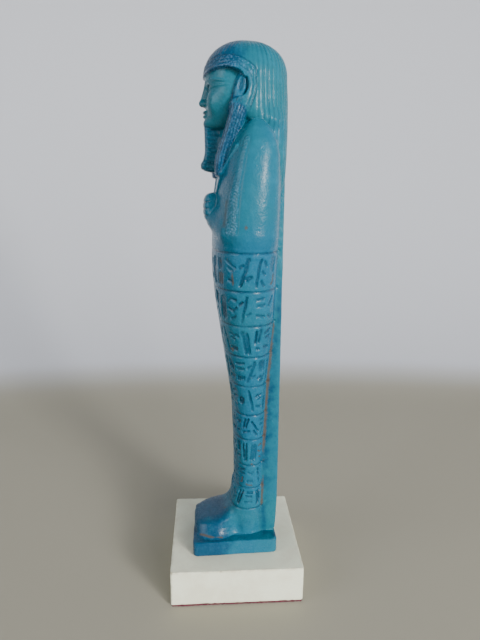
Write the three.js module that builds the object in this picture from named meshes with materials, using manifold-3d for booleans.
// A mummiform funerary figurine (ushabti) on a painted display plinth with a felt sole.
// Millimetres, +Z up. The figure faces -Y. The origin is the middle of the felt's underside.
import * as THREE from "three";
import { ParametricGeometry } from "three/addons/geometries/ParametricGeometry.js";
import { mergeVertices } from "three/addons/utils/BufferGeometryUtils.js";
import Module from "manifold-3d";

const wasm = await Module();
wasm.setup();

// Driving dimensions
const felt = { side: 64.4, thickness: 1, corner: 1, edge: 0.2 };
const plinth = { side: 65, height: 18, corner: 1, edge: 0.4 };
const figurePlace = { right: 2, turn: THREE.MathUtils.degToRad(2.2) }; // it stands a little off square
const slab = { width: 37, front: -22.5, skew: 2.4, back: 19.8, height: 7.6, corner: 2, edge: 0.7 };
const pillar = { width: 21, depth: 14, back: 21, top: 194, corner: 1.4, edge: 0.6 };
const crownHeight = 242; // crown of the wig above the slab's underside
const shoulderHeight = 208.5;
const elbowHeight = 155;
const sink = 1; // how far each carved mass reaches into the one below it

// A smooth curve through [height, value] pairs, with no overshoot between them (monotone cubic).
function curveOf(pairs) {
  const at = pairs.map((p) => p[0]);
  const value = pairs.map((p) => p[1]);
  const slope = value.slice(1).map((v, i) => (v - value[i]) / (at[i + 1] - at[i]));
  const tangent = value.map((_, i) => {
    const before = slope[i - 1] ?? slope[i];
    const after = slope[i] ?? slope[i - 1];
    return before * after <= 0 ? 0 : (2 * before * after) / (before + after);
  });
  return (z) => {
    if (z <= at[0]) return value[0];
    if (z >= at[at.length - 1]) return value[value.length - 1];
    const i = at.findIndex((a) => a > z) - 1;
    const h = at[i + 1] - at[i];
    const t = (z - at[i]) / h;
    return (
      value[i] * (1 + 2 * t) * (1 - t) ** 2 +
      tangent[i] * h * t * (1 - t) ** 2 +
      value[i + 1] * t * t * (3 - 2 * t) +
      tangent[i + 1] * h * t * t * (t - 1)
    );
  };
}

// A closed mesh as a manifold-3d solid, its seam and poles merged.
function solidOf(geometry) {
  const plain = new THREE.BufferGeometry().setAttribute("position", geometry.getAttribute("position"));
  plain.setIndex(geometry.index);
  const merged = mergeVertices(plain, 1e-3);
  const corners = merged.index.array;
  const triVerts = [];
  for (let i = 0; i < corners.length; i += 3) {
    const [a, b, c] = corners.subarray(i, i + 3);
    if (a !== b && b !== c && a !== c) triVerts.push(a, b, c);
  }
  return new wasm.Manifold(
    new wasm.Mesh({
      numProp: 3,
      vertProperties: merged.attributes.position.array,
      triVerts: new Uint32Array(triVerts),
    }),
  );
}

function geometryOf(solid) {
  const mesh = solid.getMesh();
  const geometry = new THREE.BufferGeometry();
  geometry.setAttribute("position", new THREE.BufferAttribute(mesh.vertProperties, mesh.numProp));
  geometry.setIndex(new THREE.BufferAttribute(mesh.triVerts, 1));
  return geometry;
}

// A solid whose level sections are superellipses: section(z) gives the centre x, y, the half sizes
// rx, ry, the exponent n (2 is an ellipse, more is squarer) and how much narrower the back is than the
// front. It closes to a point at both ends.
function loft(low, high, section, around, levels) {
  const point = (u, v, target) => {
    const level = Math.min(Math.max(v * (levels + 2) - 1, 0), levels) / levels;
    const z = low + (high - low) * level;
    const s = section(z);
    const open = v > 0 && v < 1 ? 1 : 0;
    const angle = u * 2 * Math.PI;
    const round = (c) => Math.sign(c) * Math.abs(c) ** (2 / s.n) * open;
    const across = round(Math.cos(angle));
    const along = round(Math.sin(angle));
    target.set(s.x + s.rx * across * (1 - (s.taper * (along + 1)) / 2), s.y + s.ry * along, z);
  };
  return solidOf(new ParametricGeometry(point, around, levels + 2));
}

// A loft given by curves of its front and back y, half width and exponent.
function standing(low, high, form, around, levels) {
  const { front, back, width, n, x = () => 0, taper = () => 0 } = form;
  const section = (z) => ({
    x: x(z),
    y: (front(z) + back(z)) / 2,
    rx: width(z),
    ry: (back(z) - front(z)) / 2,
    n: n(z),
    taper: taper(z),
  });
  return loft(low, high, section, around, levels);
}

// An upright block on an outline of [x, y] corners: its upright edges are rounded by corner, and its
// top and bottom edges by edge.
function block(corners, height, corner, edge) {
  const outline = new THREE.Shape();
  corners.forEach(([x, y], i) => {
    const step = ([toX, toY]) => {
      const share = corner / Math.hypot(toX - x, toY - y);
      return [x + (toX - x) * share, y + (toY - y) * share];
    };
    const start = step(corners.at(i - 1));
    if (i) outline.lineTo(...start);
    else outline.moveTo(...start);
    outline.quadraticCurveTo(x, y, ...step(corners[(i + 1) % corners.length]));
  });
  return new THREE.ExtrudeGeometry(outline, {
    depth: height - 2 * edge,
    curveSegments: 2,
    bevelSize: edge,
    bevelOffset: -edge,
    bevelThickness: edge,
    bevelSegments: 2,
  }).translate(0, 0, edge);
}

function squareCorners(side) {
  const half = side / 2;
  return [[-half, -half], [half, -half], [half, half], [-half, half]];
}

// The wrapped body: legs and torso in one tapering mass.
function wrappedBody() {
  const front = curveOf([
    [8, -2], [24, -1], [34, -0.3], [46, -0.4], [60, -0.9], [75, -1.7], [88, -3.3], [100, -5.3],
    [117, -8], [133, -10.3], [146, -11.4], [158, -11.2], [170, -10.6], [182, -9.2], [195, -6.8], [208.5, -1],
  ]);
  const back = curveOf([
    [8, 14], [45, 14], [60, 14.6], [90, 15.4], [105, 16.5], [120, 17.8], [150, 18.8], [180, 19.6],
    [198, 18], [208.5, 12],
  ]);
  const width = curveOf([
    [8, 13], [24, 13], [34, 13.6], [46, 14.4], [60, 15.5], [75, 17], [90, 19], [105, 21.6],
    [120, 24.4], [135, 27], [150, 28.9], [163, 30], [180, 29.7], [193, 28], [202, 24], [208.5, 17],
  ]);
  return standing(sink, shoulderHeight, { front, back, width, n: () => 2.4 }, 34, 32);
}

// Both feet under the wrapping, as one wedge that runs out over the slab, wider at the toes.
function wrappedFeet() {
  const front = curveOf([
    [6.6, -21.2], [10.6, -21.3], [12.4, -20.6], [13.6, -19], [15, -16], [16, -13], [17, -9],
    [18.5, -6], [21.5, -3.2], [27, -1], [30, -0.8],
  ]);
  const width = curveOf([[6.6, 21.4], [10, 20.8], [12.4, 19], [14, 17], [16, 15.4], [20, 14.4], [30, 13.4]]);
  const taper = curveOf([[6.6, 0.7], [14, 0.6], [20, 0.3], [30, 0]]);
  const form = { front, back: () => 13.6, width, taper, n: () => 2.8 };
  return standing(slab.height - sink, 30, form, 32, 14);
}

// An upper arm and elbow under the wrapping; side is 1 on the left and -1 on the right.
function wrappedArm(side) {
  const front = curveOf([
    [elbowHeight, 2], [156.6, -4.6], [161, -7.2], [175, -5.8], [190, -3.4], [202, 0], [208, 4],
  ]);
  const back = curveOf([
    [elbowHeight, 9], [156.6, 13.6], [161, 16], [175, 16.6], [192, 16.6], [199, 15.4], [204, 13], [208, 9],
  ]);
  const width = curveOf([
    [elbowHeight, 5], [156.6, 8.6], [161, 10.8], [185, 11], [197, 9.4], [204, 6.5], [208, 3],
  ]);
  const x = () => side * 19.2;
  return standing(elbowHeight, 208, { front, back, width, n: () => 2.5, x }, 24, 16);
}

// A forearm that crosses the chest to the fist on the far side.
function crossedForearm(side) {
  const run = { from: [20, -4.6, 160.5], to: [-3, -10.2, 172] };
  const length = new THREE.Vector3(...run.from).distanceTo(new THREE.Vector3(...run.to));
  const arm = new THREE.CapsuleGeometry(4.6, length, 3, 12);
  const along = new THREE.Vector3(...run.to).sub(new THREE.Vector3(...run.from)).normalize();
  arm.applyQuaternion(new THREE.Quaternion().setFromUnitVectors(new THREE.Vector3(0, 1, 0), along));
  const mid = run.from.map((a, i) => (a + run.to[i]) / 2);
  arm.translate(...mid);
  return mirrored(solidOf(arm), side);
}

function mirrored(solid, side) {
  return side > 0 ? solid : solid.mirror([1, 0, 0]);
}

function fist(side) {
  const ball = new THREE.SphereGeometry(1, 14, 10).scale(5.2, 4.4, 6.6);
  return mirrored(solidOf(ball.translate(6, -10.9, 172.6)), side);
}

// The wig: a dome over the crown, its sides down to the shoulders and its back panel below them.
function wig() {
  const dome = (z, half) => {
    const rise = Math.max(z - 226, 0) / (crownHeight - 226);
    return half * Math.max(1 - rise ** 2.3, 0) ** (1 / 2.3);
  };
  const centre = 3.8;
  const under = curveOf([[177, 9], [205, 5], [212, -1], [229.4, -4], [230.6, -14.4]]);
  const front = (z) => (z < 230.6 ? under(z) : centre - dome(z, 18.9));
  const low = curveOf([[177, 20.8], [184, 22], [205, 22.6], [216, 22.6], [226, 22.1]]);
  const back = (z) => (z < 226 ? low(z) : centre + dome(z, 18.3));
  const side = curveOf([[177, 15.5], [190, 17.2], [204, 18.8], [209, 20.9], [216, 20.9], [226, 20.2]]);
  const width = (z) => (z < 226 ? side(z) : dome(z, 20.2));
  return standing(177, crownHeight - 0.05, { front, back, width, n: () => 2.25 }, 34, 32);
}

// The face, on plain proportions: hairline, brow, nose base and chin lie a third of it apart.
function face() {
  const front = curveOf([
    [205.6, -9], [206.6, -12.4], [209, -14], [213, -14.3], [222, -14.2], [228, -14.1], [232, -13.4],
  ]);
  const width = curveOf([
    [205.6, 4], [206.6, 7.2], [209, 10], [213, 12.6], [219, 14.2], [226, 14.6], [232, 13.8],
  ]);
  return standing(205.6, 232, { front, back: () => 6, width, n: () => 2.3 }, 28, 12);
}

// The nose is as long as the face's middle third and stands out from it by a third of its own length.
function nose() {
  const [base, bridge, faceFront] = [214.6, 222.5, -14.2];
  const tip = faceFront - (bridge - base) / 3;
  const front = curveOf([[base, tip + 1.6], [base + 1, tip + 0.1], [base + 2, tip], [bridge, faceFront - 0.6]]);
  const width = curveOf([[base, 2.2], [216, 2.6], [218, 1.7], [bridge, 1.3]]);
  return standing(base, bridge, { front, back: () => -12, width, n: () => 2 }, 16, 6);
}

function ear(side) {
  const front = curveOf([[216.6, -1.6], [219, -2.3], [225, -1.8], [227.2, 0]]);
  const back = curveOf([[216.6, -0.4], [219, 1.6], [225, 3.4], [227.2, 2.4]]);
  const width = curveOf([[216.6, 1.6], [220, 2.6], [225, 3], [227.2, 1.6]]);
  return standing(216.6, 227.2, { front, back, width, n: () => 2.2, x: () => side * 16.4 }, 14, 8);
}

// A lappet of the wig, from beside the ear down and inwards onto the chest.
function lappet(side) {
  const front = curveOf([
    [184, -9.4], [185.2, -10.6], [190, -10.8], [197, -9.2], [204, -6.8], [212, -4.6], [219, -3.4],
  ]);
  const back = curveOf([[184, -3], [205, 4], [219, 8]]);
  const x = curveOf([[184, 12], [195, 13], [205, 15], [213, 17], [219, 17.4]]);
  const width = curveOf([[184, 4], [186, 4.9], [200, 5], [213, 4], [219, 3.6]]);
  return standing(184, 219, { front, back, width, n: () => 3, x: (z) => side * x(z) }, 18, 14);
}

// The plaited false beard, narrow under the chin and turned forward at its end.
function beard() {
  const front = curveOf([
    [187.2, -12], [188.2, -15], [190.2, -16.4], [192.4, -15.4], [197, -14.4], [203, -14.6], [207.5, -14.9],
  ]);
  const width = curveOf([[187.2, 3.4], [190, 4], [198, 3.2], [207.5, 2.9]]);
  return standing(187.2, 207.5, { front, back: () => -4, width, n: () => 3 }, 16, 14);
}

function figure() {
  const side = slab.width / 2;
  const foot = [
    [-side, slab.front + slab.skew],
    [side, slab.front],
    [side, slab.back],
    [-side, slab.back],
  ];
  const base = solidOf(block(foot, slab.height, slab.corner, slab.edge));
  const half = pillar.width / 2;
  const post = [
    [-half, pillar.back - pillar.depth],
    [half, pillar.back - pillar.depth],
    [half, pillar.back],
    [-half, pillar.back],
  ];
  const column = solidOf(
    block(post, pillar.top - sink, pillar.corner, pillar.edge).translate(0, 0, sink),
  );
  const pairs = [1, -1].flatMap((side) => [
    wrappedArm(side),
    crossedForearm(side),
    fist(side),
    ear(side),
    lappet(side),
  ]);
  const masses = [base, column, wrappedBody(), wrappedFeet(), wig(), face(), nose(), beard(), ...pairs];
  return geometryOf(masses.reduce((whole, mass) => whole.add(mass)));
}

function material(color, roughness) {
  return new THREE.MeshStandardMaterial({ color, roughness, metalness: 0 });
}

const glaze = material(new THREE.Color(0.12, 0.42, 0.52), 0.35);
const cream = material(new THREE.Color(0.84, 0.83, 0.74), 0.6);
const redFelt = material(new THREE.Color(0.3, 0.05, 0.08), 0.95);

const soleShape = block(squareCorners(felt.side), felt.thickness, felt.corner, felt.edge);
const sole = new THREE.Mesh(soleShape, redFelt);
sole.name = "felt_sole";

const standShape = block(squareCorners(plinth.side), plinth.height, plinth.corner, plinth.edge);
const stand = new THREE.Mesh(standShape, cream);
stand.name = "display_plinth";
stand.position.z = felt.thickness;

const statue = new THREE.Mesh(figure(), glaze);
statue.name = "ushabti_figure";
statue.position.set(figurePlace.right, 0, felt.thickness + plinth.height);
statue.rotation.z = figurePlace.turn;

const ushabti = new THREE.Group();
ushabti.add(sole, stand, statue);

export default ushabti;
